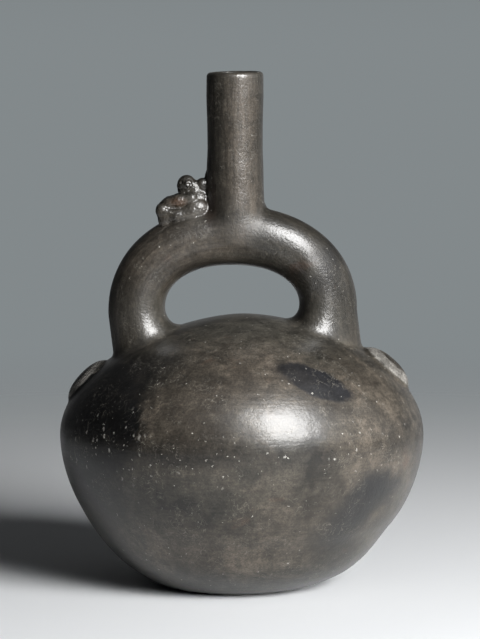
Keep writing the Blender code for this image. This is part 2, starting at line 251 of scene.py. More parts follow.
# %% Reading the chart
def off_chart(p):
    """How far a point lies outside the chart."""
    side = np.maximum(np.maximum(chart_x[0] - p[:, 0], p[:, 0] - chart_x[-1]), 0)
    level = np.maximum(np.maximum(chart_z[0] - p[:, 2], p[:, 2] - chart_z[-1]), 0)
    return np.hypot(side, level)


def read_chart(chart, p):
    u = np.clip((p[:, 0] - chart_x[0]) / CHART_STEP, 0, len(chart_x) - 1.001)
    v = np.clip((p[:, 2] - chart_z[0]) / CHART_STEP, 0, len(chart_z) - 1.001)
    i, j = u.astype(int), v.astype(int)
    s, t = u - i, v - j
    low = chart[i, j] * (1 - s) + chart[i + 1, j] * s
    high = chart[i, j + 1] * (1 - s) + chart[i + 1, j + 1] * s
    return low * (1 - t) + high * t


# %% [markdown]
# Each leg of the arch spreads where it meets the shoulder, as clay does when a thumb presses it
# down. It spreads most under the arch, some at the front and back, and not at all outside. The
# right leg was also pressed a little flat, so its front turns to the right. The spread is added to
# the leg's radius and dies away with the distance from the body, so it needs no ring of its own.

# %% The spread at the foot of each leg
FOOT_FLARE = 0.0060
FRONT_FLARE = 0.0010
FLARE_REACH = 0.0032
FRONT_FLARE_REACH = 0.0060
FLARE_TOP = 0.016
FLARE_FADE = 0.012


def foot_flare(p):
    side = np.sign(p[:, 0])
    leg_x = ARCH_CENTRE_X + side * ARCH_HALF_SPAN
    out = np.maximum(np.hypot(p[:, 0] - leg_x, p[:, 1]), 1e-6)
    facing_out = side * (p[:, 0] - leg_x) / out
    facing_front = (p[:, 1] / out) ** 2
    reach = FLARE_REACH + (FRONT_FLARE_REACH - FLARE_REACH) * facing_front
    spread = FOOT_FLARE * (0.5 - 0.5 * facing_out) + FRONT_FLARE * facing_front
    leg = smooth_step((ARCH_SPRING + FLARE_TOP - p[:, 2]) / FLARE_FADE)
    return leg * spread * np.exp(-np.maximum(body(p), 0.0) / reach)


# %% The arch, outside and inside
LEG_TURN = 0.20
LEG_TURN_WIDTH = 0.010
LEG_TURN_FROM, LEG_TURN_FADE = 0.024, 0.010
LEG_TURN_TOP, LEG_TURN_FALL = 0.150, 0.016


def from_arch_line(p):
    """How far a point lies from the centre line of the arch."""
    away = read_chart(chart_away, p) + off_chart(p)
    right = smooth_step((p[:, 0] - LEG_TURN_FROM) / LEG_TURN_FADE)
    right_leg = right * smooth_step((LEG_TURN_TOP - p[:, 2]) / LEG_TURN_FALL)
    across = p[:, 0] - ARCH_CENTRE_X - ARCH_HALF_SPAN
    across = np.clip(across, -LEG_TURN_WIDTH, LEG_TURN_WIDTH)
    return np.hypot(away, p[:, 1] - LEG_TURN * right_leg * across)


def arch(p):
    return from_arch_line(p) - read_chart(chart_radius, p) - foot_flare(p)


def arch_bore(p):
    return from_arch_line(p) - (read_chart(chart_radius, p) - ARCH_WALL)


# %% The spout, outside and inside
SPOUT_SHAPE = (
    # height, radius
    (0.150, 0.01300), (0.166, 0.01300), (0.174, 0.01268), (0.182, 0.01255),
    (0.190, 0.01220), (0.200, 0.01225), (0.213, 0.01255), (0.224, 0.01240),
)
SPOUT_FLOOR = 0.150
LIP_ROUND = 0.0020
RIM_FALL = 0.020
RIM_HIGH_SIDE = 0.0125
BORE_RADIUS = 0.0122 - SPOUT_WALL
MOUTH_FLARE = 0.0010
MOUTH_DEPTH = 0.008
BORE_OVERLAP = 0.002


def spout(p):
    heights, radii = zip(*SPOUT_SHAPE)
    radius = np.interp(p[:, 2], heights, radii)
    top = HEIGHT - RIM_FALL * (RIM_HIGH_SIDE - p[:, 0])
    out = np.hypot(p[:, 0], p[:, 1]) - (radius - LIP_ROUND)
    up = p[:, 2] - (top - LIP_ROUND)
    outside = np.hypot(np.maximum(out, 0), np.maximum(up, 0))
    shaft = outside + np.minimum(np.maximum(out, up), 0) - LIP_ROUND
    return np.maximum(shaft, SPOUT_FLOOR - p[:, 2])


def spout_bore(p):
    mouth = smooth_step((p[:, 2] - (HEIGHT - MOUTH_DEPTH)) / MOUTH_DEPTH)
    radius = BORE_RADIUS + MOUTH_FLARE * mouth
    floor = ARCH_SPRING + ARCH_RISE - BORE_OVERLAP
    return np.maximum(np.hypot(p[:, 0], p[:, 1]) - radius, floor - p[:, 2])


# %% [markdown]
# ## Two bosses and a seated animal
#
# The potter pressed a round cushion of clay on each shoulder, pricked it all over with a point,
# and set a small animal on the arch with its back to the spout. It sits with its knees drawn up
# and its arms laid along them. All are small lumps smeared on, so they are built from round
# lumps with narrow soft joins, as the potter built them, and not carved out of one block.

# %% Where the bosses are
BOSSES = (
    # side, height of the middle, radius, stand out
    (-1, 0.0909, 0.0118, 0.0031),
    (1, 0.0952, 0.0129, 0.0041),
)


def boss_place(direction, height):
    """The frame of a boss: its middle on the shoulder, its local Z square to the slope."""
    bend, root = UPPER_CURVE

    def surface(level):
        share = (level - WIDEST) / (DOME - WIDEST)
        out = BODY_RADIUS * (1 - share**bend) ** (1 / root)
        x = direction * out
        return Vector((x + BODY_LEAN, 0, level + SHOULDER_TILT * x * share))

    middle = surface(height)
    along = surface(height - 0.001) - middle
    slope = math.atan2(-along.z, direction * along.x)
    return Matrix.Translation(middle) @ Matrix.Rotation(direction * slope, 4, "Y")


def in_boss_frame(p, direction, height):
    place = np.array(boss_place(direction, height).inverted())
    return p @ place[:3, :3].T + place[:3, 3]


# %% The bosses and their pricked dents
BOSS_EDGE_CURVE = 2.6
SHOULDER_BEND = 0.055
PRICK_SPACING = 0.00135
PRICK_RADIUS = 0.00052
PRICK_DEPTH = 0.00026
PRICKED_SHARE = 0.86
RING_TURN = 0.37
LEAST_BOSS_SLOPE = 60.0


def pricked(local, radius):
    """Small dents pricked into a boss in rings, from 0 to 1 at the middle of each dent."""
    out = np.hypot(local[:, 0], local[:, 1])
    ring = np.round(out / PRICK_SPACING)
    count = np.maximum(np.round(2 * math.pi * ring), 1)
    turn = np.arctan2(local[:, 1], local[:, 0]) / (2 * math.pi) * count + RING_TURN * ring
    aside = (turn - np.round(turn)) / count * 2 * math.pi * np.maximum(out, 1e-6)
    way = np.hypot(out - ring * PRICK_SPACING, aside) / PRICK_RADIUS
    return np.maximum(1 - way**2, 0.0) * (out < PRICKED_SHARE * radius)


def boss(p, direction, height, radius, stand_out):
    local = in_boss_frame(p, direction, height)
    out = np.hypot(local[:, 0], local[:, 1]) / radius
    bent = local[:, 0] ** 2 / (2 * SHOULDER_BEND) + local[:, 1] ** 2 / (2 * SHOULDER_BEND)
    up = np.maximum((local[:, 2] + bent) / stand_out, 0.0)
    level = out**BOSS_EDGE_CURVE + up**2 - 1
    slope = np.hypot(BOSS_EDGE_CURVE / radius * out ** (BOSS_EDGE_CURVE - 1), 2 / stand_out * up)
    return level / np.maximum(slope, LEAST_BOSS_SLOPE) + PRICK_DEPTH * pricked(local, radius)


# %% [markdown]
# Each lump is given by its middle and its half sizes, each limb by its joints and their radii,
# and each join by how far it is smeared, all in metres. Only the near half is written down: the
# far half mirrors it.

# %% Round lumps
def lump(p, centre, half):
    half = np.array(half)
    local = p - np.array(centre)
    near = np.linalg.norm(local / half, axis=1)
    return near * (near - 1) / np.maximum(np.linalg.norm(local / half**2, axis=1), 1e-9)


def limb(p, points, radii, reach=0.0006):
    """A tapering limb through its joints."""
    whole = None
    for a, b, ra, rb in zip(points, points[1:], radii, radii[1:]):
        a, b = np.array(a), np.array(b)
        along = np.clip((p - a) @ (b - a) / ((b - a) @ (b - a)), 0, 1)
        part = np.linalg.norm(p - a - along[:, None] * (b - a), axis=1) - (ra + (rb - ra) * along)
        whole = part if whole is None else soft_union(whole, part, reach)
    return whole


# %% The animal's trunk, legs and arms
def trunk(q):
    whole = lump(q, (-0.0160, 0, 0.1670), (0.0060, 0.0058, 0.0066))
    nape = lump(q, (-0.0178, 0, 0.1735), (0.0034, 0.0036, 0.0036))
    whole = soft_union(whole, nape, 0.0016)
    belly = lump(q, (-0.0235, 0, 0.1634), (0.0070, 0.0030, 0.0038))
    return soft_union(whole, belly, 0.0016)


def leg(q):
    haunch = lump(q, (-0.0163, -0.0046, 0.1645), (0.0055, 0.0036, 0.0046))
    joints = [(-0.0188, -0.0048, 0.1628), (-0.0250, -0.0050, 0.1615), (-0.0315, -0.0037, 0.1639)]
    shin = [(-0.0303, -0.0036, 0.1592)]
    whole = limb(q, joints + shin, [0.0036, 0.0029, 0.0025, 0.0029], 0.0016)
    calf = lump(q, (-0.0275, -0.0041, 0.1606), (0.0046, 0.0027, 0.0027))
    whole = soft_union(whole, calf, 0.0010)
    toes = lump(q, (-0.0250, -0.0049, 0.1602), (0.0034, 0.0021, 0.0015))
    return soft_union(soft_union(whole, toes, 0.0006), haunch, 0.0014)


def arm(q):
    joints = [(-0.0187, -0.0044, 0.1691), (-0.0243, -0.0040, 0.1679), (-0.0286, -0.0031, 0.1669)]
    return limb(q, joints + [(-0.0318, -0.0022, 0.1659)], [0.0028, 0.0025, 0.0022, 0.0014], 0.0024)


# %% The animal's head and tail, and the whole of it
HEAD = (-0.0209, 0.0, 0.1749)
DENT_DEPTH = 0.00005
DENTS_ONE_WAY = (2600.0, 900.0, 1500.0)
DENTS_OTHER_WAY = (-1100.0, 2300.0, 2700.0)


def head(q):
    whole = lump(q, HEAD, (0.0041, 0.0040, 0.0042))
    muzzle = lump(q, (-0.0233, 0, 0.1735), (0.0017, 0.0025, 0.0022))
    chin = lump(q, (-0.0222, 0, 0.1714), (0.0022, 0.0028, 0.0022))
    whole = soft_union(soft_union(whole, muzzle, 0.0010), chin, 0.0010)
    ear = lump(q, (-0.0197, -0.0039, 0.1755), (0.0018, 0.0010, 0.0019))
    ear = soft_cut(ear, lump(q, (-0.0199, -0.0050, 0.1755), (0.0009, 0.0009, 0.0010)), 0.0004)
    return soft_union(whole, ear, 0.0004)


def tail(q):
    whole = limb(q, [(-0.0128, 0, 0.1690), (-0.0141, -0.0008, 0.1751)], [0.0026, 0.0027], 0.001)
    return soft_union(whole, lump(q, (-0.0119, 0, 0.1765), (0.0014, 0.0022, 0.0043)), 0.0008)


def animal(p):
    """The seated animal, both sides alike."""
    q = np.stack([p[:, 0], -np.abs(p[:, 1]), p[:, 2]], axis=1)
    whole = soft_union(trunk(q), leg(q), 0.0008)
    for part in (arm, tail, head):
        whole = soft_union(whole, part(q), 0.0006)
    eye = lump(q, (-0.0231, -0.0033, 0.1760), (0.0007, 0.0008, 0.0007))
    mouth = limb(q, [(-0.0254, 0, 0.1731), (-0.0236, -0.0028, 0.1727)], [0.00035, 0.00030])
    whole = soft_cut(whole, np.minimum(eye, mouth), 0.0004)
    dents = np.sin(p @ DENTS_ONE_WAY) * np.sin(p @ DENTS_OTHER_WAY + 1.3)
    return whole + DENT_DEPTH * (1 + dents)


# %% [markdown]
# ## The whole skin
#
# Outside and inside are joined part by part, each join as wide as a fingertip made it. The
# surface keeps the slow unevenness of hand work, from a few long waves added up, and the foot's
# edge is worn round. A Displace modifier could give the unevenness too. Added here, it leaves the
# animal and the hollow as they are.

# %% The slow unevenness of hand work
WOBBLE_WAVES = (0.062, 0.047, 0.036, 0.028, 0.022)
WOBBLE_DEPTH = 0.00035


def hand_wobble(p):
    """Slow unevenness, from 0 to 1, the same each time."""
    rng = np.random.default_rng(7)
    total = np.zeros(len(p))
    for wave in WOBBLE_WAVES:
        way = rng.normal(size=3)
        way /= np.linalg.norm(way)
        total += np.sin(p @ way * 2 * math.pi / wave + rng.uniform(0, 2 * math.pi)) * wave
    return 0.5 + 0.5 * total / sum(WOBBLE_WAVES)


# %% Small parts, worked out only where they are
ANIMAL_BOX = ((-0.042, -0.015, 0.148), (-0.004, 0.015, 0.190))


def boss_box(side):
    """The low and the high corner of a box round one boss."""
    low, high = sorted((side * 0.045, side * 0.095))
    return (low, -0.02, 0.07), (high, 0.02, 0.115)


def in_box(p, low, high):
    return ((p > np.array(low)) & (p < np.array(high))).all(axis=1)


def only_near(p, low, high, distance):
    """A small part's distance, worked out only inside a box around it."""
    far = np.full(len(p), 1.0)
    near = in_box(p, low, high)
    if near.any():
        far[near] = distance(p[near])
    return far


# %% The whole vessel as one distance
FOOT_JOIN = 0.0022
SPOUT_JOIN = 0.0034
BOSS_JOIN = 0.0018
ANIMAL_JOIN = 0.0009
TUBE_JOIN = 0.002
HOLLOW_JOIN = 0.003
BASE_EDGE = 0.0040
LIP_EDGE = 0.0012


def vessel(p):
    bow = soft_union(arch(p), spout(p), SPOUT_JOIN)
    outside = soft_union(body(p), bow, FOOT_JOIN)
    for row in BOSSES:
        cushion = only_near(p, *boss_box(row[0]), lambda q, row=row: boss(q, *row))
        outside = soft_union(outside, cushion, BOSS_JOIN)
    outside = outside + WOBBLE_DEPTH * hand_wobble(p)
    outside = soft_union(outside, only_near(p, *ANIMAL_BOX, animal), ANIMAL_JOIN)
    outside = soft_cut(outside, p[:, 2], BASE_EDGE)
    tubes = soft_union(arch_bore(p), spout_bore(p), TUBE_JOIN)
    inside = soft_union(body_hollow(p), tubes, HOLLOW_JOIN)
    return soft_cut(outside, inside, LIP_EDGE)


# %% [markdown]
# A point is drawn onto the skin by walking it down the slope of the distance, a short step at a
# time. Between walks the points are slid along the skin, so that their squares stay even. The
# Shrinkwrap modifier does such a walk onto another mesh, but the skin here is only a formula.

# %% Points drawn onto the skin
FEELER = 0.00004
LEAST_STEEPNESS = 0.05
LONG_STEP = 0.0012
SHORT_STEP = 0.0004


def steepness(p):
    """How the distance changes along X, Y and Z."""
    ways = np.eye(3) * FEELER
    return np.stack([vessel(p + way) - vessel(p - way) for way in ways], axis=1) / (2 * FEELER)


def drawn_on(p, rounds, most=LONG_STEP):
    """Walks points down the slope of the distance until they lie on the skin."""
    for _ in range(rounds):
        slope = steepness(p)
        steep = (slope**2).sum(axis=1)
        step = vessel(p)[:, None] * slope / np.maximum(steep, LEAST_STEEPNESS)[:, None]
        size = np.linalg.norm(step, axis=1, keepdims=True)
        p = p - step * np.minimum(1.0, most / np.maximum(size, 1e-12))
    return p


def evened(p, edges, pull):
    """Slides points along the skin towards the middle of their neighbours."""
    middle = np.zeros_like(p)
    count = np.zeros(len(p))
    for a, b in ((0, 1), (1, 0)):
        np.add.at(middle, edges[:, a], p[edges[:, b]])
        np.add.at(count, edges[:, a], 1)
    move = middle / count[:, None] - p
    normal = steepness(p)
    normal /= np.linalg.norm(normal, axis=1, keepdims=True)
    move -= (move * normal).sum(axis=1, keepdims=True) * normal
    return p + pull * move


# %% [markdown]
# ## From the plain solid to the skin
#
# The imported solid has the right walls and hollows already. A copy of it is remeshed into even
# small squares, which are then drawn onto the blended skin. The animal, the bosses and the lip
# get smaller squares than the plain body, which needs none. Sculpting by hand would also do, but
# then a changed size would mean sculpting again.

# %% Small helpers for meshes
def plain_copy(name, node):
    thing = bpy.data.objects.new(name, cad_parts[node].data.copy())
    bpy.context.scene.collection.objects.link(thing)
    return thing


def applied(thing):
    bpy.context.view_layer.update()
    shaped = thing.evaluated_get(bpy.context.evaluated_depsgraph_get())
    mesh = bpy.data.meshes.new_from_object(shaped)
    thing.modifiers.clear()
    old = thing.data
    thing.data = mesh
    bpy.data.meshes.remove(old)
    return thing


def points_of(mesh):
    p = np.empty(len(mesh.vertices) * 3, dtype=np.float32)
    mesh.vertices.foreach_get("co", p)
    return p.reshape(-1, 3).astype(float)


def edges_of(mesh):
    e = np.empty(len(mesh.edges) * 2, dtype=np.int32)
    mesh.edges.foreach_get("vertices", e)
    return e.reshape(-1, 2)


def put_points(mesh, p):
    mesh.vertices.foreach_set("co", p.astype(np.float32).ravel())
    mesh.update()


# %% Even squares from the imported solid
SKIN_GRAIN = 0.00174

skin = plain_copy("vessel_skin", "vessel")
grain = skin.modifiers.new("even_squares", "REMESH")
grain.mode = "VOXEL"
grain.voxel_size = SKIN_GRAIN
applied(skin)
print("even squares:", len(skin.data.polygons))


# %% Where the squares are smaller
SMALL_SQUARES_BOX = ((-0.0365, -0.0095, 0.1555), (-0.0095, 0.0095, 0.1830))
BOSS_REACH = 0.0008
INTO_THE_WALL = 0.001
LIP_REACH = 0.007
LIP_INSIDE = 0.0075


def near_animal(p):
    return in_box(p, *SMALL_SQUARES_BOX)


def on_boss(p):
    bosses = np.zeros(len(p), dtype=bool)
    for row in BOSSES:
        bosses |= (boss(p, *row) < BOSS_REACH) & (body(p) > -INTO_THE_WALL)
    return bosses


def near_details(p):
    out = np.hypot(p[:, 0], p[:, 1])
    lip = (p[:, 2] > HEIGHT - LIP_REACH) & (out > LIP_INSIDE)
    return near_animal(p) | lip | on_boss(p)


# %% Smaller squares on the animal, the bosses and the lip
def split_where(mesh, wanted):
    """Halves the squares whose middle is wanted."""
    made = bmesh.new()
    made.from_mesh(mesh)
    made.faces.ensure_lookup_table()
    middles = np.array([face.calc_center_median() for face in made.faces])
    chosen = np.nonzero(wanted(middles))[0]
    edges = {edge for i in chosen for edge in made.faces[i].edges}
    bmesh.ops.subdivide_edges(made, edges=list(edges), cuts=1, use_grid_fill=True)
    made.to_mesh(mesh)
    made.free()


p = drawn_on(points_of(skin.data), 4)
p = drawn_on(evened(p, edges_of(skin.data), 0.5), 2)
put_points(skin.data, p)
split_where(skin.data, near_details)
p = drawn_on(points_of(skin.data), 2)
p = drawn_on(evened(p, edges_of(skin.data), 0.4), 2)
put_points(skin.data, p)
split_where(skin.data, lambda q: near_animal(q) | on_boss(q))
p = drawn_on(points_of(skin.data), 3, SHORT_STEP)
p = drawn_on(evened(p, edges_of(skin.data), 0.4), 2, SHORT_STEP)
p = drawn_on(evened(p, edges_of(skin.data), 0.4), 3, SHORT_STEP)
put_points(skin.data, p)
print("furthest off the skin, mm:", round(float(np.abs(vessel(p)).max() * 1000), 4))


# %% Plain triangles, shaded smooth
def in_triangles(mesh):
    made = bmesh.new()
    made.from_mesh(mesh)
    bmesh.ops.triangulate(made, faces=made.faces, quad_method="BEAUTY")
    bmesh.ops.recalc_face_normals(made, faces=made.faces)
    open_edges = sum(not edge.is_manifold for edge in made.edges)
    made.to_mesh(mesh)
    made.free()
    mesh.shade_smooth()
    print("triangles:", len(mesh.polygons), "open edges:", open_edges)


in_triangles(skin.data)
skin.data.materials.clear()
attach(skin, "root")
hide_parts("vessel")

# %% [markdown]
# ## Camera
#
# The camera stands a little above the vessel and looks down on it by about six degrees. Its long
# lens keeps the spout and the body in true proportion, as a museum photograph does. A short lens
# close by would swell the body and shrink the spout.

# %% Camera
PHOTO_HEIGHT = 639
PIXELS_PER_METRE = 2300
AIM = Vector((0.0022, 0.0, 0.1161))
STAND = Vector((0.0022, -1.5, 0.275))

lens_data = bpy.data.cameras.new("camera")
camera = bpy.data.objects.new("camera", lens_data)
bpy.context.scene.collection.objects.link(camera)
camera.location = STAND
camera.rotation_euler = (AIM - STAND).to_track_quat("-Z", "Y").to_euler()
lens_data.sensor_width = 36
lens_data.lens = PIXELS_PER_METRE * (AIM - STAND).length * lens_data.sensor_width / PHOTO_HEIGHT
bpy.context.scene.camera = camera
print("lens, mm:", round(lens_data.lens, 1))

# %% [markdown]
# ## Floor
#
# The vessel stands on a pale table top that is bright round the vessel and fades into the grey of
# the room. A curved studio backdrop would give such a fade from the front alone. Here the table
# grows clearer with the distance from its middle, so the fade looks the same from every side.

# %% Small helpers for node trees
def put(tree, socket, value):
    if isinstance(value, bpy.types.NodeSocket):
        tree.links.new(value, socket)
    else:
        socket.default_value = value


def node(tree, kind, values=(), **settings):
    made = tree.nodes.new(kind)
    for name, value in settings.items():
        setattr(made, name, value)
    for place, value in dict(values).items():
        put(tree, made.inputs[place], value)
    return made


def sum_of(tree, operation, *values):
    return node(tree, "ShaderNodeMath", dict(enumerate(values)), operation=operation).outputs[0]


def turned_into(tree, value, low, high, out_low=0.0, out_high=1.0, smooth=True):
    """A value that goes from out_low to out_high as the given one goes from low to high."""
    kind = "SMOOTHSTEP" if smooth else "LINEAR"
    places = {0: value, 1: low, 2: high, 3: out_low, 4: out_high}
    return node(tree, "ShaderNodeMapRange", places, interpolation_type=kind).outputs[0]


# %% The table top
TABLE_RADIUS = 1.4
TABLE_COLOUR = (0.760, 0.774, 0.788, 1.0)
CLEAR_FROM = 0.16
CLEAR_BY = 0.96

made = bmesh.new()
bmesh.ops.create_circle(made, cap_ends=True, segments=96, radius=TABLE_RADIUS)
table_mesh = bpy.data.meshes.new("table_top")
made.to_mesh(table_mesh)
made.free()
table = bpy.data.objects.new("table_top", table_mesh)
bpy.context.scene.collection.objects.link(table)
table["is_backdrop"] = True

table_finish = bpy.data.materials.new("table_finish")
table_finish.use_nodes = True
tree = table_finish.node_tree
tree.nodes.clear()
place = node(tree, "ShaderNodeTexCoord").outputs["Object"]
away = node(tree, "ShaderNodeVectorMath", {0: place}, operation="LENGTH").outputs["Value"]
clear = turned_into(tree, away, CLEAR_FROM, CLEAR_BY)
paper = node(tree, "ShaderNodeBsdfDiffuse", {"Color": TABLE_COLOUR}).outputs[0]
glass = node(tree, "ShaderNodeBsdfTransparent").outputs[0]
mixed = node(tree, "ShaderNodeMixShader", {0: clear, 1: paper, 2: glass}).outputs[0]
node(tree, "ShaderNodeOutputMaterial", {"Surface": mixed})
table_mesh.materials.append(table_finish)

# %% [markdown]
# ## Light
#
# Three soft lights have one job each. A lamp low at the right and in front gives the shade and
# the shadow. A second one, higher, only shows in the gloss as the bright spots, and a wide pale
# panel at the right only as the thin light edge. One lamp could do all three, but then a brighter
# gloss would also bleach the clay. The room is grey behind and black to the left.

# %% The soft lights
LIGHTS = {
    # turn and rise in degrees, distance, width and height in metres, power, what it lights
    "soft_lamp": (40, 19, 1.15, 0.62, 0.56, 32.8, "body"),
    "gloss_lamp": (29.5, 37.0, 1.15, 0.50, 0.84, 38.0, "gloss"),
    "side_panel": (84, 22, 1.50, 1.30, 1.00, 3.5, "gloss"),
}
LIT_MIDDLE = Vector((0.0, 0.0, 0.09))


def soft_light(name, turn, rise, away, wide, tall, power, lights):
    """A lit rectangle that faces the vessel; turn is counted from the front to the right."""
    data = bpy.data.lights.new(name, "AREA")
    data.shape = "RECTANGLE"
    data.size, data.size_y = wide, tall
    data.energy = power
    light = bpy.data.objects.new(name, data)
    bpy.context.scene.collection.objects.link(light)
    turn, rise = math.radians(turn), math.radians(rise)
    level = math.cos(rise)
    way = Vector((level * math.sin(turn), -level * math.cos(turn), math.sin(rise)))
    light.location = LIT_MIDDLE + way * away
    light.rotation_euler = (-way).to_track_quat("-Z", "Y").to_euler()
    light.visible_camera = False
    light.visible_glossy = lights != "body"
    light.visible_diffuse = lights != "gloss"


for name, row in LIGHTS.items():
    soft_light(name, *row)

# %% The room
ROOM_SEEN = (0.226, 0.250, 0.259, 1.0)
ROOM_LIGHT = (0.96, 0.98, 1.0, 1.0)
ROOM_LEFT = 0.12
ROOM_HIGH = 0.78
ROOM_DARK = 0.012
ROOM_BACK = 0.24
ROOM_RIGHT = 0.16
ROOM_TOP = 0.05

room = bpy.data.worlds.new("room")
bpy.context.scene.world = room
room.use_nodes = True
tree = room.node_tree
tree.nodes.clear()
# the way looked along, each number from -1 to 1: X to the right, Y to the back, Z up
way = node(tree, "ShaderNodeTexCoord").outputs["Generated"]
way = node(tree, "ShaderNodeSeparateXYZ", {0: way}).outputs
back = turned_into(tree, way["Y"], 0.2, 0.95, 0.0, ROOM_BACK)
low = turned_into(tree, way["Z"], 0.45, 0.15)
right = turned_into(tree, way["X"], 0.3, 0.9, 0.0, ROOM_RIGHT)
top = turned_into(tree, way["Z"], 0.35, 0.9, ROOM_DARK, ROOM_TOP)
not_left = turned_into(tree, way["X"], -0.55, 0.05, ROOM_LEFT, 1.0)
walls = sum_of(tree, "ADD", back, right)
glow = sum_of(tree, "MULTIPLY", walls, sum_of(tree, "MULTIPLY", low, not_left))
glow = sum_of(tree, "ADD", glow, top)
unseen = node(tree, "ShaderNodeBackground", {"Color": ROOM_LIGHT, "Strength": glow}).outputs[0]
dimmer = turned_into(tree, way["Z"], -0.030, 0.045, 1.0, ROOM_HIGH)
seen = node(tree, "ShaderNodeBackground", {"Color": ROOM_SEEN, "Strength": dimmer}).outputs[0]
straight = node(tree, "ShaderNodeLightPath").outputs["Is Camera Ray"]
both = node(tree, "ShaderNodeMixShader", {0: straight, 1: unseen, 2: seen}).outputs[0]
node(tree, "ShaderNodeOutputWorld", {"Surface": both})
bpy.context.scene.view_settings.view_transform = "Standard"

# %% [markdown]
# ## Burnished clay
#
# The kiln's smoke turned the clay dark brown and black in soft clouds, and each stroke of the
# burnishing stone left a fine line: round the body, up the spout and along the arch. So the
# finish needs to know, at each point, which part it is on and how the strokes run there. That is
# worked out once and kept on the skin as named values for each point. A painted picture could
# carry the strokes too, but it would need seams and go soft close up, and nodes do neither.

# %% Which part, and how the strokes run
BOW_FADE = 0.0025
SPOUT_FADE = 0.0030
ANIMAL_FADE = 0.0006


def share_of(nearer, other, reach):
    return smooth_step(0.5 + (other - nearer) / (2 * reach))


def keep_on_skin(mesh, name, values):
    kept = mesh.attributes.new(name, "FLOAT_VECTOR", "POINT")
    kept.data.foreach_set("vector", values.astype(np.float32).ravel())


p = points_of(skin.data)
bow_distance = np.minimum(arch(p), spout(p))
on_bow = share_of(bow_distance, body(p), BOW_FADE)
on_spout = share_of(spout(p), arch(p), SPOUT_FADE)
on_small = share_of(only_near(p, *ANIMAL_BOX, animal), bow_distance, ANIMAL_FADE)
keep_on_skin(skin.data, "part_share", np.stack([on_bow, on_spout, on_small], axis=1))

run = read_chart(chart_run, p)
line_at = np.stack([np.interp(run, line_run, line_x), np.interp(run, line_run, line_z)], axis=1)
heart = np.array([ARCH_CENTRE_X, ARCH_SPRING - ARCH_HEART_DROP])
beyond = np.linalg.norm(p[:, (0, 2)] - heart, axis=1) > np.linalg.norm(line_at - heart, axis=1)
out = read_chart(chart_away, p) * np.where(beyond, 1, -1)
keep_on_skin(skin.data, "bow_place", np.stack([out, p[:, 1], run], axis=1))

# %% Where dust lies, and where a painted highlight goes on each boss's wall
DUST_WIDTH = 0.0007
DUST_FROM_HEIGHT = 0.09
RIM_WIDTH = 0.0025
HIGHLIGHT_FROM, HIGHLIGHT_RISE = 0.34, 0.40
HIGHLIGHT_TO, HIGHLIGHT_FALL = 1.05, 0.17
HIGHLIGHT_OFF_SKIN, HIGHLIGHT_OFF_FALL = 0.0016, 0.0012

dust_line = np.exp(-np.maximum(arch(p), body(p)) / DUST_WIDTH)
dust_line[p[:, 2] < DUST_FROM_HEIGHT] = 0
rim = np.exp(-np.maximum(HEIGHT - p[:, 2], 0) / RIM_WIDTH)


def boss_wall(p, row):
    """Where the painted highlight goes: 1 on a boss's wall and the outer part of its top, 0 at its middle
    and away from it.
    """
    direction, height, radius, _ = row
    local = in_boss_frame(p, direction, height)
    out = np.hypot(local[:, 0], local[:, 1]) / radius
    away = only_near(p, *boss_box(direction), lambda q: boss(q, *row))
    across = smooth_step((out - HIGHLIGHT_FROM) / HIGHLIGHT_RISE) * smooth_step((HIGHLIGHT_TO - out) / HIGHLIGHT_FALL)
    return across * smooth_step((HIGHLIGHT_OFF_SKIN - away) / HIGHLIGHT_OFF_FALL)


# Painted highlight: each boss's wall is made pale where the lamp's gloss would show.
painted_boss_highlight = np.maximum(*[boss_wall(p, row) for row in BOSSES])
keep_on_skin(skin.data, "edge_share", np.stack([dust_line, rim, painted_boss_highlight], axis=1))
shares = (on_bow, on_spout, on_small, dust_line, rim)
print("shares, mean:", [round(float(share.mean()), 3) for share in shares])

# %% The clay's nodes begin
clay = bpy.data.materials.new("burnished_clay")
clay.use_nodes = True
tree = clay.node_tree
shader = tree.nodes["Principled BSDF"]
place = node(tree, "ShaderNodeTexCoord").outputs["Object"]


def kept(name):
    return node(tree, "ShaderNodeAttribute", attribute_name=name).outputs["Vector"]


def three_of(vector):
    return node(tree, "ShaderNodeSeparateXYZ", {0: vector}).outputs


on_bow, on_spout, on_small = three_of(kept("part_share"))
dust_line, rim, painted_boss_highlight = three_of(kept("edge_share"))
bow_place = kept("bow_place")


# %% Short names for the nodes used most
def moved(vector, other, operation="MULTIPLY"):
    return node(tree, "ShaderNodeVectorMath", {0: vector, 1: other}, operation=operation).outputs[0]


def noise(vector, scale, detail=2.0, roughness=0.5, swirl=0.0):
    places = {"Vector": vector, "Scale": scale, "Detail": detail}
    places |= {"Roughness": roughness, "Distortion": swirl}
    return node(tree, "ShaderNodeTexNoise", places).outputs["Fac"]


def between(share, a, b):
    return node(tree, "ShaderNodeMix", {0: share, 2: a, 3: b}).outputs[0]


def tinted(share, a, b):
    return node(tree, "ShaderNodeMix", {0: share, 6: a, 7: b}, data_type="RGBA").outputs[2]


def product(a, b):
    return sum_of(tree, "MULTIPLY", a, b)


def larger(a, b):
    return sum_of(tree, "MAXIMUM", a, b)


def minus(a, b):
    return sum_of(tree, "SUBTRACT", a, b)


def added(a, b, times=1.0):
    """b and a number of times a."""
    return sum_of(tree, "MULTIPLY_ADD", a, times, b)


# %% [markdown]
# A stroke is a noise pulled out long in one direction. Three of them, one for each part, are
# mixed by the shares, so the lines turn with the form.

# %% Burnishing strokes
def strokes(long, fine, detail):
    """Strokes on the body, spout and arch: long and fine are the waves in a metre."""
    round_body = noise(moved(place, (long, long, fine)), 1.0, detail, 0.6, 0.3)
    up_spout = noise(moved(place, (fine, fine, long)), 1.0, detail, 0.6, 0.3)
    along_arch = noise(moved(bow_place, (fine, fine, long)), 1.0, detail, 0.6, 0.3)
    return between(on_bow, round_body, between(on_spout, along_arch, up_spout))


fine_strokes = strokes(70.0, 900.0, 3.0)
broad_strokes = strokes(30.0, 260.0, 3.0)
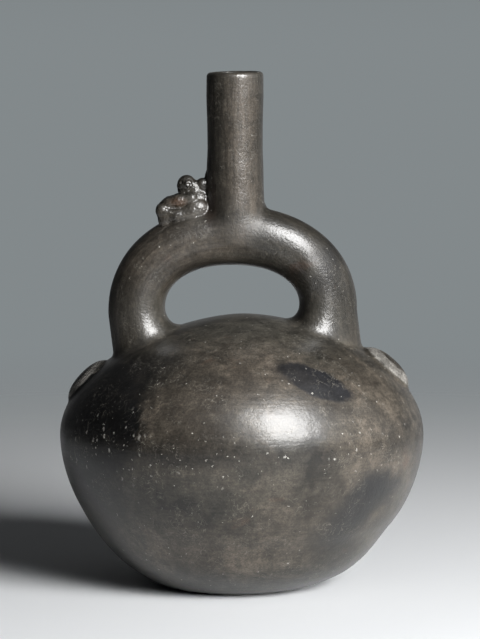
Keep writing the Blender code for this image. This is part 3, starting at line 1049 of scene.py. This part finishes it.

# %% [markdown]
# ## Smoke clouds
#
# Each dark cloud is an ellipsoid laid through the wall: its edge is ragged where the smoke crept
# and soft where it thinned out. It has no seam, and one row of numbers moves it. Two clouds lie at
# the back, where the photograph can't show them. Two are not smoke but painted: shade under the
# arch's crown, and a dark band round the body that is a painted reflection.

# %% Smoke clouds, with one painted shade and one painted reflection
NO_TURN = (0.0, 0.0, 0.0)
SOOT = (0.0060, 0.0056, 0.0052, 1)
CLOUDS = {
    # middle, turns, half sizes,
    # softness, raggedness, colour, share
    "blue black patch": (
        (0.0345, -0.053, 0.095), (0.0, 0.40, 0.12), (0.0158, 0.020, 0.0054),
        0.14, 0.6, (0.0085, 0.0085, 0.010, 1), 1.0,
    ),
    "its faded tail": (
        (0.026, -0.054, 0.098), (0.0, 0.35, 0.10), (0.009, 0.020, 0.0034),
        0.70, 1.1, (0.012, 0.011, 0.011, 1), 0.8,
    ),
    "left black": (
        (-0.0597, -0.032, 0.0758), NO_TURN, (0.034, 0.040, 0.0245),
        0.18, 0.6, (0.0022, 0.0022, 0.0022, 1), 1.0,
    ),
    "left black, upper": (
        (-0.045, -0.040, 0.096), (0.0, -0.4, 0.0), (0.020, 0.030, 0.009),
        0.60, 1.2, SOOT, 0.85,
    ),
    "right comma": (
        (0.062, -0.046, 0.050), (0.0, 0.3, 0.0), (0.0115, 0.020, 0.007),
        0.50, 0.8, (0.015, 0.015, 0.0145, 1), 0.85,
    ),
    "comma, its bend": (
        (0.053, -0.053, 0.043), (0.0, -0.9, 0.0), (0.0155, 0.020, 0.0078),
        0.50, 0.8, (0.012, 0.012, 0.012, 1), 0.92,
    ),
    "comma, its tail": (
        (0.0445, -0.052, 0.030), (0.0, -1.2, 0.0), (0.015, 0.022, 0.009),
        0.80, 0.9, (0.016, 0.0155, 0.0145, 1), 0.75,
    ),
    "under the right arch": (
        (0.040, 0.000, 0.140), (0.0, 0.3, 0.0), (0.006, 0.020, 0.013),
        0.60, 0.9, SOOT, 0.7,
    ),
    # Painted shade on the underside of the arch's crown.
    "painted shade under the crown": (
        (0.002, -0.005, 0.1375), NO_TURN, (0.024, 0.025, 0.0042),
        0.50, 0.7, (0.007, 0.0064, 0.0056, 1), 0.8,
    ),
    "left, below the black": (
        (-0.062, -0.035, 0.052), NO_TURN, (0.024, 0.030, 0.017),
        0.60, 0.8, (0.0085, 0.008, 0.0072, 1), 0.75,
    ),
    # Painted reflection: a dark band round the body stands for the mirrored dark gap between the table and
    # the lamp.
    "painted dark reflection band": (
        (-0.020, 0.0, 0.067), NO_TURN, (0.070, 0.100, 0.005),
        0.60, 0.8, (0.011, 0.010, 0.0085, 1), 0.70,
    ),
    "right edge": (
        (0.069, -0.030, 0.069), NO_TURN, (0.013, 0.030, 0.008),
        0.60, 0.9, (0.020, 0.018, 0.015, 1), 0.6,
    ),
    "back, large": (
        (0.030, 0.060, 0.060), (0.0, 0.2, 0.0), (0.026, 0.025, 0.020),
        0.60, 0.9, SOOT, 0.9,
    ),
    "back, small": (
        (-0.045, 0.048, 0.085), (0.0, 0.5, 0.0), (0.013, 0.025, 0.007),
        0.30, 0.9, (0.0085, 0.0085, 0.010, 1), 1.0,
    ),
}

# %% The shape of a cloud
creep = noise(place, 150.0, 4.0, 0.6, 0.4)


def cloud(middle, turns, half, softness, raggedness):
    """1 in the cloud, 0 outside it."""
    places = {"Vector": place, "Location": middle, "Rotation": turns, "Scale": half}
    inside = node(tree, "ShaderNodeMapping", places, vector_type="TEXTURE").outputs[0]
    away = node(tree, "ShaderNodeVectorMath", {0: inside}, operation="LENGTH").outputs["Value"]
    ragged = sum_of(tree, "MULTIPLY_ADD", creep, raggedness, -raggedness / 2)
    return turned_into(tree, sum_of(tree, "ADD", away, ragged), 1.0 + softness, 1.0 - softness)


print("smoke clouds:", len(CLOUDS))

# %% [markdown]
# ## Colour
#
# Between the clouds the clay is a dark grey brown, mottled at three sizes. The mottle and the
# strokes are added up into one tone, and the tone picks the colour, so the strokes stay part of
# the clay and don't look painted over it.

# %% Colour of the clay
DARK = (0.0100, 0.0088, 0.0066, 1.0)
MIDDLE = (0.0272, 0.0243, 0.0188, 1.0)
LIGHT = (0.0530, 0.0464, 0.0362, 1.0)
TAN = (0.0950, 0.0778, 0.0600, 1.0)
RED_BROWN = (0.0700, 0.0430, 0.0290, 1.0)

wide = noise(place, 26.0, 3.0, 0.55, 0.6)
mottle = noise(place, 130.0, 4.0, 0.62, 0.5)
fine_mottle = noise(place, 480.0, 3.0, 0.65, 0.6)
fine_tone = between(on_bow, fine_strokes, fine_mottle)
tone = added(mottle, product(wide, 1.5), 0.85)
tone = added(fine_mottle, tone, 0.45)
tone = added(broad_strokes, tone, between(on_bow, 0.15, 0.40))
tone = added(fine_tone, tone, 0.35)
colour = tinted(turned_into(tree, tone, 1.36, 1.68), DARK, MIDDLE)
colour = tinted(turned_into(tree, tone, 1.66, 2.10), colour, LIGHT)

# %% [markdown]
# The clay is tan where air reached it in the kiln: on the right flank, above the bright spot, on
# the spout and in small reddish places. These go on first and the smoke over them.

# %% Warm places, then the smoke
WARM_SOFTNESS = 0.75
WARM_RAGGEDNESS = 0.9
WARM_LEAST = 0.38
WARM = {
    # middle, half sizes, share
    "right flank": ((0.064, -0.038, 0.072), (0.030, 0.042, 0.034), 0.60),
    "above the bright spot": ((0.015, -0.056, 0.094), (0.023, 0.020, 0.0095), 1.00),
    "right shoulder": ((0.050, -0.048, 0.088), (0.022, 0.026, 0.014), 0.50),
    "lower left": ((-0.025, -0.060, 0.023), (0.030, 0.024, 0.014), 0.75),
    "left shoulder": ((-0.021, -0.060, 0.084), (0.030, 0.028, 0.020), 0.85),
    "below the bright spot": ((0.030, -0.062, 0.036), (0.024, 0.020, 0.016), 0.45),
    "arch, left": ((-0.030, -0.010, 0.146), (0.020, 0.020, 0.014), 0.70),
    "spout": ((0.0035, -0.012, 0.196), (0.0062, 0.009, 0.032), 1.00),
    "spout, low": ((0.007, -0.010, 0.172), (0.006, 0.008, 0.012), 0.80),
    "arch, crown": ((-0.016, -0.012, 0.150), (0.020, 0.020, 0.008), 0.50),
    "shoulder, under the arch": ((-0.005, -0.050, 0.108), (0.020, 0.020, 0.007), 0.50),
    "lower middle": ((0.002, -0.062, 0.022), (0.024, 0.024, 0.011), 0.30),
    "dome, left of the patch": ((0.010, -0.045, 0.105), (0.015, 0.020, 0.007), 0.60),
    "back": ((-0.020, 0.062, 0.050), (0.035, 0.025, 0.030), 0.50),
}

for middle, half, share in WARM.values():
    here = cloud(middle, NO_TURN, half, WARM_SOFTNESS, WARM_RAGGEDNESS)
    warm = product(here, turned_into(tree, tone, 1.56, 1.98, WARM_LEAST * share, share))
    colour = tinted(warm, colour, TAN)
tan_places = turned_into(tree, noise(place, 52.0, 4.0, 0.65, 1.0), 0.58, 0.72, 0.0, 0.40)
colour = tinted(tan_places, colour, TAN)
elsewhere = moved(place, (0.4, 0.1, 0.7), "ADD")
red_places = turned_into(tree, noise(elsewhere, 41.0, 4.0, 0.6, 0.8), 0.62, 0.74, 0.0, 0.55)
colour = tinted(red_places, colour, RED_BROWN)
for middle, turns, half, softness, raggedness, smoke, share in CLOUDS.values():
    here = cloud(middle, turns, half, softness, raggedness)
    colour = tinted(product(here, share), colour, smoke)

# %% Small places: some with a colour of their own, some painted light and shade
SMALL_SOFTNESS = 0.6
SMALL_RAGGEDNESS = 0.8
SMALL_PLACES = {
    # middle, half sizes, colour, share
    "animal's arm": ((-0.0242, -0.006, 0.1677), (0.0036, 0.004, 0.0018), (0.10, 0.056, 0.032, 1), 0.65),
    # Partly pale dust and partly a painted sheen: the animal's flank is made much paler.
    "animal's flank, dust and painted sheen": ((-0.0165, -0.008, 0.164), (0.005, 0.006, 0.0065), (0.120, 0.108, 0.092, 1), 0.50),
    "behind the animal": ((-0.011, -0.008, 0.168), (0.0032, 0.007, 0.010), (0.030, 0.019, 0.013, 1), 0.75),
    # Painted shade: the clay is darkened near the ground, where the foot meets the table.
    "foot": ((0.0, 0.0, 0.0), (0.080, 0.080, 0.009), (0.010, 0.009, 0.008, 1), 0.60),
    # Painted light: the top of the dome is made paler, as if lit from above.
    "painted light on top of the dome": ((0.0, -0.010, 0.118), (0.042, 0.045, 0.010), (0.075, 0.070, 0.058, 1), 0.45),
}
for middle, half, tint, share in SMALL_PLACES.values():
    here = cloud(middle, NO_TURN, half, SMALL_SOFTNESS, SMALL_RAGGEDNESS)
    colour = tinted(product(here, share), colour, tint)
print("warm places:", len(WARM) + len(SMALL_PLACES))

# %% [markdown]
# ## Wear
#
# Centuries in the ground left pale specks, hair-fine marks and a line of dust where the arch
# meets the shoulder, and grains that fell out left pits. The specks are thickest on the left,
# where the black is most worn, and few on the calm place low on the right. Each dot is drawn in a
# cell of its own, with its own luck, so the dots differ in size and stand in no rows.

# %% Specks and pits
shake = node(tree, "ShaderNodeTexNoise", {"Vector": place, "Scale": 1100.0, "Detail": 2.0})
shake = moved(shake.outputs["Color"], (0.5, 0.5, 0.5), "SUBTRACT")
shaken = moved(moved(shake, (0.0022, 0.0022, 0.0022)), place, "ADD")
little_shaken = moved(moved(shake, (0.0011, 0.0011, 0.0011)), place, "ADD")


def dots(vector, scale, size, chance):
    """Uneven dots: 1 in a dot, 0 elsewhere. Only the given chance of the places has one."""
    cells = node(tree, "ShaderNodeTexVoronoi", {"Vector": vector, "Scale": scale})
    luck = three_of(cells.outputs["Color"])[0]
    radius = turned_into(tree, luck, 1.0 - chance, 1.0, 0.0, size, smooth=False)
    return turned_into(tree, minus(radius, cells.outputs["Distance"]), 0.0, size * 0.3)


left_worn = cloud((-0.0540, -0.0450, 0.0680), NO_TURN, (0.0210, 0.0300, 0.0150), 0.5, 0.6)
level_worn = cloud((0.0, 0.0, 0.0640), NO_TURN, (0.1, 0.1, 0.012), 0.6, 0.8)
calm = cloud((0.0520, -0.0500, 0.0380), NO_TURN, (0.0280, 0.0300, 0.0220), 0.6, 0.6)
few = dots(shaken, 400.0, 0.19, 0.34)
many = product(dots(shaken, 430.0, 0.26, 0.60), larger(left_worn, product(level_worn, 0.9)))
upright_cells = moved(little_shaken, (1.0, 1.0, 0.6))
flecks = product(dots(upright_cells, 400.0, 0.34, 0.85), product(left_worn, 0.75))
specks = larger(larger(few, many), flecks)
specks = product(specks, minus(1.0, product(calm, 0.7)))
pits = dots(moved(shaken, (0.3, 0.3, 0.3), "ADD"), 420.0, 0.17, 0.12)

# %% [markdown]
# A mark is the thin line where a noise passes through its middle value, which gives curls as fine
# as a hair. They are kept only in some places.

# %% Marks and dust
curl = sum_of(tree, "ABSOLUTE", minus(noise(place, 210.0, 2.0, 0.5, 1.2), 0.5))
some_places = turned_into(tree, noise(place, 75.0, 3.0), 0.44, 0.58)
marks = product(turned_into(tree, curl, 0.016, 0.004), some_places)
grime = product(dust_line, turned_into(tree, mottle, 0.35, 0.60, 0.25, 0.9))

# %% The wear, and the painted highlight on the bosses, laid over the colour
SPECK = (0.40, 0.385, 0.35, 1.0)
MARK = (0.130, 0.120, 0.100, 1.0)
DUST = (0.140, 0.128, 0.108, 1.0)
BOSS_HIGHLIGHT = (0.210, 0.200, 0.182, 1.0)
PIT = (0.0060, 0.0055, 0.0050, 1.0)
colour = tinted(product(marks, 0.60), colour, MARK)
colour = tinted(product(grime, 0.55), colour, DUST)
colour = tinted(product(rim, 0.25), colour, DUST)
# A pale painted highlight on each boss's wall, made ragged and patchy by the mottle.
ragged_boss_highlight = turned_into(tree, added(painted_boss_highlight, added(mottle, fine_mottle), 1.5), 1.50, 2.45)
patchy = turned_into(tree, mottle, 0.38, 0.60, 0.60, 0.95)
colour = tinted(product(ragged_boss_highlight, patchy), colour, BOSS_HIGHLIGHT)
colour = tinted(pits, colour, PIT)
faint_or_clear = turned_into(tree, fine_mottle, 0.35, 0.60, 0.35, 0.95)
colour = tinted(product(specks, faint_or_clear), colour, SPECK)

# %% [markdown]
# The clay's own grain goes over everything: every dot of it is a little lighter or darker. On the
# body it is mostly dots, on the arch and the spout mostly strokes.

# %% The clay's own grain
sand = added(noise(place, 1500.0, 1.0), product(noise(place, 700.0, 2.0, 0.6), 0.8), 1.0)
sand = between(on_bow, sand, added(fine_strokes, product(sand, 0.45), 1.1))
sand = between(on_bow, added(fine_strokes, sand, 0.3), sand)
paler = turned_into(tree, sand, 0.72, 1.38, 0.60, 1.42, smooth=False)
paler = between(product(calm, 0.75), paler, 0.98)
high_up = turned_into(tree, three_of(place)["Z"], 0.055, 0.080)
darkest, lightest = between(high_up, 0.82, 0.70), between(high_up, 1.10, 1.20)
uneven = turned_into(tree, mottle, 0.36, 0.64, darkest, lightest, smooth=False)
paler = product(paler, between(on_bow, uneven, 0.68))
grained = node(tree, "ShaderNodeVectorMath", {0: colour, "Scale": paler}, operation="SCALE")
put(tree, shader.inputs["Base Color"], grained.outputs[0])

# %% [markdown]
# ## Gloss and relief
#
# The gloss has two layers: the clay itself, whose roughness follows the strokes, and the thin
# skin of slip the stone pressed flat, which is the coat. One layer would give either a soft sheen
# or a bright spot, and burnished clay shows both. Three places are handled dull: the left leg, the
# foot of the spout and the right of the arch. There the clay is rougher and the coat thinner. A
# low relief, given in millimetres, breaks the bright places into fine lines and grains.

# %% Gloss
gloss = added(mottle, added(fine_strokes, added(broad_strokes, 0.26, 0.14), 0.12), 0.06)
HANDLED = {
    # middle, half sizes
    "left leg": ((-0.060, -0.012, 0.116), (0.0115, 0.014, 0.013)),
    "foot of the spout": ((0.0035, -0.013, 0.156), (0.010, 0.010, 0.010)),
    "arch, right": ((0.038, -0.012, 0.145), (0.0075, 0.013, 0.0075)),
}
handled = 0.0
for middle, half in HANDLED.values():
    handled = larger(handled, cloud(middle, NO_TURN, half, 0.7, 0.6))
gloss = added(handled, gloss, 0.16)
dull = larger(larger(specks, pits), product(larger(marks, grime), 0.6))
put(tree, shader.inputs["Roughness"], between(dull, gloss, 0.70))
shader.inputs["IOR"].default_value = 1.45
coat = product(between(on_bow, 0.40, 0.48), minus(1.0, product(handled, 0.75)))
put(tree, shader.inputs["Coat Weight"], coat)
shader.inputs["Coat Roughness"].default_value = 0.20
shader.inputs["Coat IOR"].default_value = 1.5

# %% Relief, in millimetres
grain = noise(place, 900.0, 2.0, 0.6)
level = added(fine_strokes, product(broad_strokes, 0.09), 0.045)
level = added(noise(place, 95.0, 2.0), level, 0.22)
grain_depth = between(on_bow, 0.060, between(on_small, 0.150, 0.200))
level = added(product(grain, grain_depth), level)
level = added(pits, level, -0.05)
level = added(marks, level, -0.010)
relief = node(tree, "ShaderNodeBump", {"Height": level, "Strength": 1.0, "Distance": 0.001})
put(tree, shader.inputs["Normal"], relief.outputs[0])
put(tree, shader.inputs["Coat Normal"], relief.outputs[0])
skin.data.materials.append(clay)

# %% [markdown]
# ## Sizes written down
#
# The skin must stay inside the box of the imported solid, so both boxes are written down and can be
# compared.

# %% Boxes
vessel_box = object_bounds()
boxes = {"cad": [list(map(float, c)) for c in cad_box], "visual": [list(map(float, c)) for c in vessel_box]}
for name, box in boxes.items():
    print(name, "box, mm:", [[round(v * 1000, 2) for v in corner] for corner in box])
